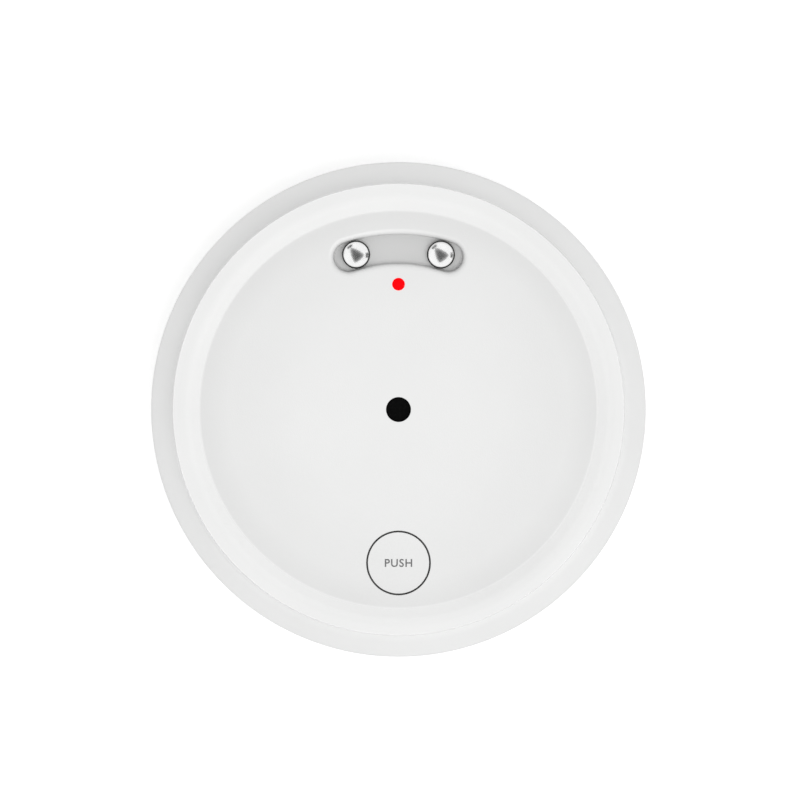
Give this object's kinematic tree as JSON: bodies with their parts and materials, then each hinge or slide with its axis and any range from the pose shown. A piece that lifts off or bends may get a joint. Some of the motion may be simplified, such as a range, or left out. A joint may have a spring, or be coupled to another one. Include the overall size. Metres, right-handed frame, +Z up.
{
  "type": "water leak sensor",
  "caption": "Round battery-powered water leak sensor with a dished top that holds probes, a test button, an indicator and a sound hole, and probes underneath that it stands on.",
  "frame": {"origin": "under the middle of the case, on the surface that it stands on, level with the tips of the bottom probes", "axes": "+Z up out of the dished top; +Y towards the back, where the top probes are; +X to the right; the test button is at the front, towards -Y"},
  "size_m": [0.08, 0.08, 0.026],
  "materials": {
    "white_case": "satin",
    "white_button": "satin",
    "red_light_pipe": "clear red, lit from below",
    "black_membrane": "matt",
    "polished_probe": "polished",
    "steel_probe": "turned",
    "seal_rubber": "matt",
    "screw_steel": "zinc plated",
    "brass_metal": "turned",
    "contact_metal": "nickel plated",
    "green_board": "lacquered",
    "black_plastic": "moulded",
    "capacitor_can": "bright",
    "led_package": "moulded",
    "cell_sleeve": "printed sleeve"
  },
  "bodies": {
    "case": {"upper_housing": "white_case", "lower_housing": "white_case", "housing_seal": "seal_rubber", "housing_screws": "screw_steel", "top_probe_left": "polished_probe", "top_probe_right": "polished_probe", "top_probe_seals": "seal_rubber", "top_probe_nuts": "brass_metal", "top_probe_contacts": "contact_metal", "bottom_probe_back": "steel_probe", "bottom_probe_left": "steel_probe", "bottom_probe_right": "steel_probe", "bottom_probe_seals": "seal_rubber", "bottom_probe_posts": "brass_metal", "circuit_board": "green_board", "board_screws": "screw_steel", "radio_board": "green_board", "radio_shield": "contact_metal", "microcontroller": "black_plastic", "alarm_coil": "black_plastic", "board_capacitor": "capacitor_can", "chip_parts": "black_plastic", "buzzer_case": "black_plastic", "buzzer_disc": "brass_metal", "buzzer_gasket": "seal_rubber", "sound_membrane": "black_membrane", "led_chip": "led_package", "light_pipe": "red_light_pipe", "button_seal": "seal_rubber", "tact_switch_body": "black_plastic", "tact_switch_cover": "contact_metal", "battery_cell_front": "cell_sleeve", "battery_cell_back": "cell_sleeve", "battery_springs": "contact_metal", "battery_positive_contact": "contact_metal", "battery_negative_contact": "contact_metal", "battery_link_contact": "contact_metal"},
    "button": {"test_button": "white_button"},
    "switch_plunger": {"tact_switch_plunger": "black_plastic"},
    "door": {"battery_door": "white_case", "battery_door_seal": "seal_rubber"},
    "left_door_screw": {"door_screw_left": "screw_steel"},
    "right_door_screw": {"door_screw_right": "screw_steel"}
  },
  "joints": [
    {"name": "button_press", "type": "slide", "parent": "case", "child": "button", "axis": [0, 0, -1], "range_m": [0, 0.0004], "stiffness_N_per_m": 4000, "deforming": ["button_seal"]},
    {"name": "plunger_press", "type": "slide", "parent": "case", "child": "switch_plunger", "axis": [0, 0, -1], "range_m": [0, 0.0004]},
    {"name": "battery_door_lift", "type": "slide", "parent": "case", "child": "door", "axis": [0, 0, -1], "range_m": [0, 0.02]},
    {"name": "left_door_screw_turn", "type": "hinge", "parent": "door", "child": "left_door_screw", "pos_m": [-0.02913, 0.003, 0.002], "axis": [0, 0, 1], "continuous": true},
    {"name": "right_door_screw_turn", "type": "hinge", "parent": "door", "child": "right_door_screw", "pos_m": [0.02913, 0.003, 0.002], "axis": [0, 0, 1], "continuous": true}
  ],
  "couplings": [
    {"joint": "plunger_press", "follows": "button_press", "ratio": 1}
  ]
}
